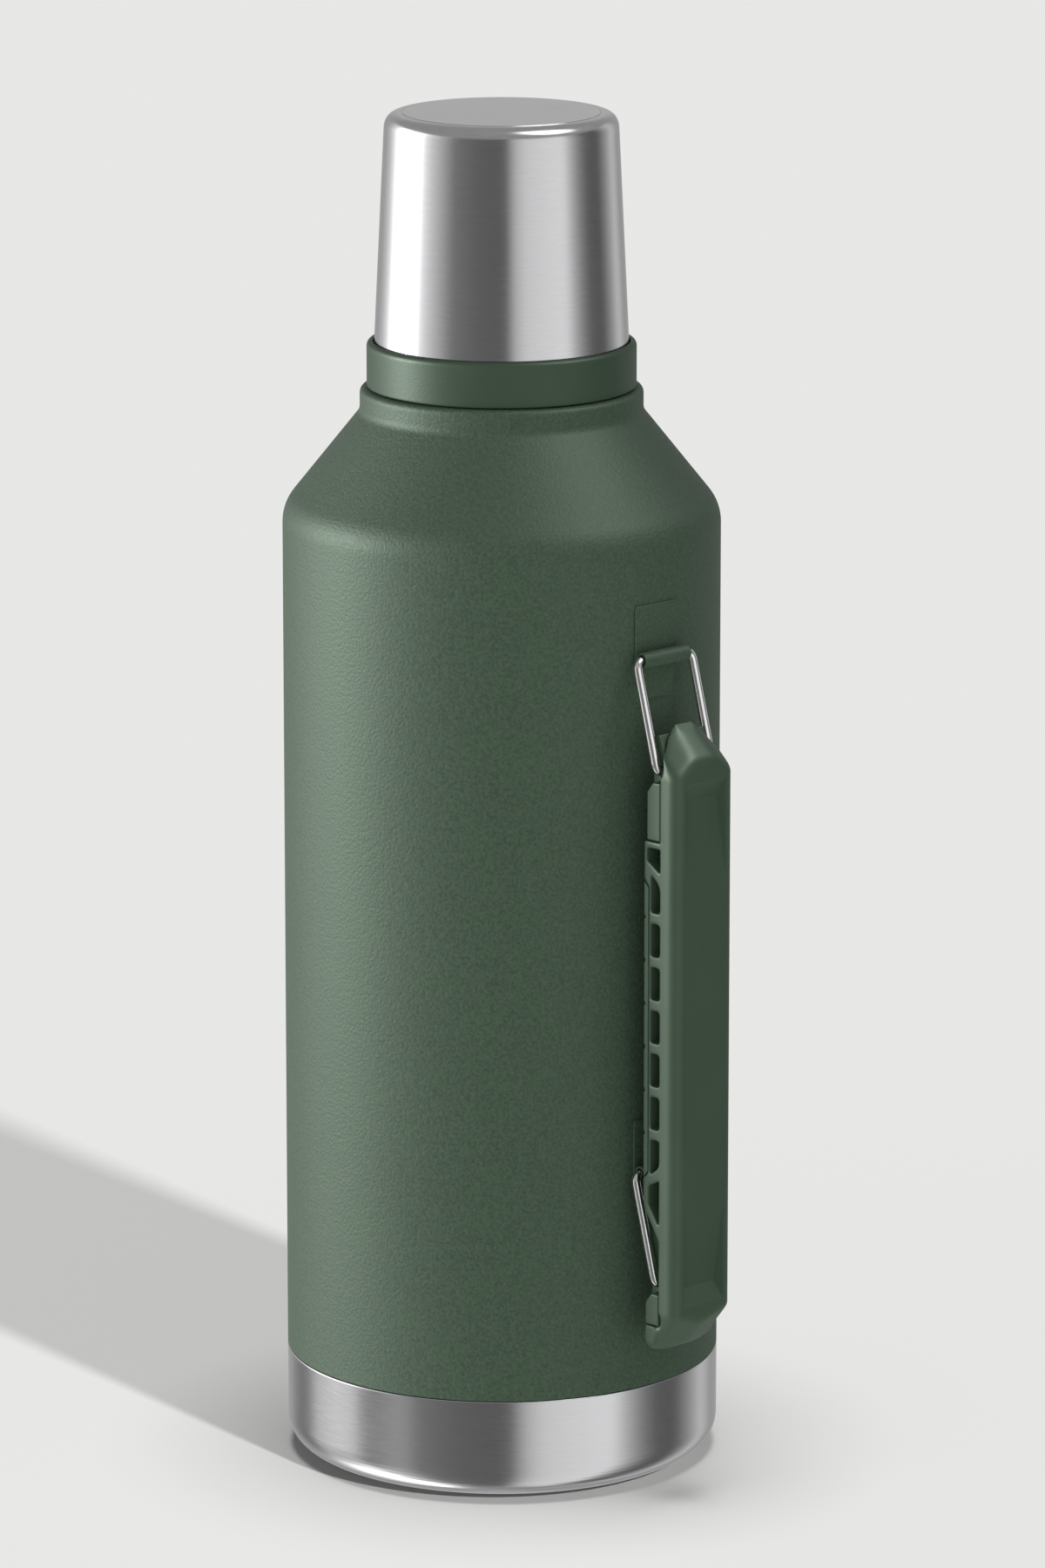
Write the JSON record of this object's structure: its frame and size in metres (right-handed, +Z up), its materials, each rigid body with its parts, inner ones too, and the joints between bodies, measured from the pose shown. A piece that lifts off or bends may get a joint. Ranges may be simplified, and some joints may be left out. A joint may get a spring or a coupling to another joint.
{
  "type": "growler",
  "caption": "Tall insulated steel vacuum bottle with a cone shoulder, screw stopper, steel cup lid and a folding side handle on wire bails.",
  "frame": {"origin": "on the bottle's axis, in the plane it stands on", "axes": "+Z up the bottle's axis, +X from the axis towards the side handle, +Y to complete a right-handed frame"},
  "size_m": [0.1525, 0.132, 0.4129],
  "materials": {
    "powder_paint": "matte",
    "satin_steel": "satin",
    "wire_steel": "polished",
    "moulded_green": "satin",
    "dark_plastic": "satin",
    "silicone": "matte",
    "foam": "matte",
    "getter_alloy": "matte"
  },
  "bodies": {
    "bottle": {"outer_shell": "powder_paint", "base_cup": "satin_steel", "bottom_plate": "satin_steel", "evacuation_seal": "satin_steel", "getter_pill": "getter_alloy", "inner_flask": "satin_steel", "neck_ring": "satin_steel", "upper_bracket": "powder_paint", "lower_bracket": "powder_paint"},
    "stopper_ring": {"stopper_gasket": "silicone"},
    "stopper": {"stopper_body": "dark_plastic", "stopper_seal": "silicone", "stopper_core": "foam", "stopper_knob": "dark_plastic"},
    "cup_ring": {"cup_gasket": "silicone"},
    "cup": {"cup_shell": "satin_steel", "cup_liner": "dark_plastic", "cup_collar": "moulded_green"},
    "upper_link": {"upper_bail": "wire_steel"},
    "lower_link": {"lower_bail": "wire_steel"},
    "grip": {"grip_body": "moulded_green", "finger_pad": "moulded_green", "upper_pivot_block": "moulded_green", "lower_pivot_block": "moulded_green"}
  },
  "joints": [
    {"name": "stopper_lift", "type": "slide", "parent": "bottle", "child": "stopper_ring", "axis": [0, 0, 1], "range_m": [0, 0.06]},
    {"name": "stopper_turn", "type": "hinge", "parent": "stopper_ring", "child": "stopper", "pos_m": [0, 0, 0.35], "axis": [0, 0, 1], "range_deg": [0, 504]},
    {"name": "cup_lift", "type": "slide", "parent": "stopper_ring", "child": "cup_ring", "axis": [0, 0, 1], "range_m": [0, 0.09]},
    {"name": "cup_turn", "type": "hinge", "parent": "cup_ring", "child": "cup", "pos_m": [0, 0, 0.37], "axis": [0, 0, 1], "range_deg": [0, 504]},
    {"name": "upper_bail_swing", "type": "hinge", "parent": "bottle", "child": "upper_link", "pos_m": [0.0688, 0, 0.2577], "axis": [0, -1, 0], "range_deg": [0, 105]},
    {"name": "grip_pivot", "type": "hinge", "parent": "upper_link", "child": "grip", "pos_m": [0.0776, 0, 0.2255], "axis": [0, -1, 0], "range_deg": [-105, 0]},
    {"name": "lower_bail_swing", "type": "hinge", "parent": "bottle", "child": "lower_link", "pos_m": [0.0688, 0, 0.1005], "axis": [0, -1, 0], "range_deg": [0, 105]}
  ],
  "couplings": [
    {"joint": "grip_pivot", "follows": "upper_bail_swing", "ratio": -1},
    {"joint": "lower_bail_swing", "follows": "upper_bail_swing", "ratio": 1}
  ]
}
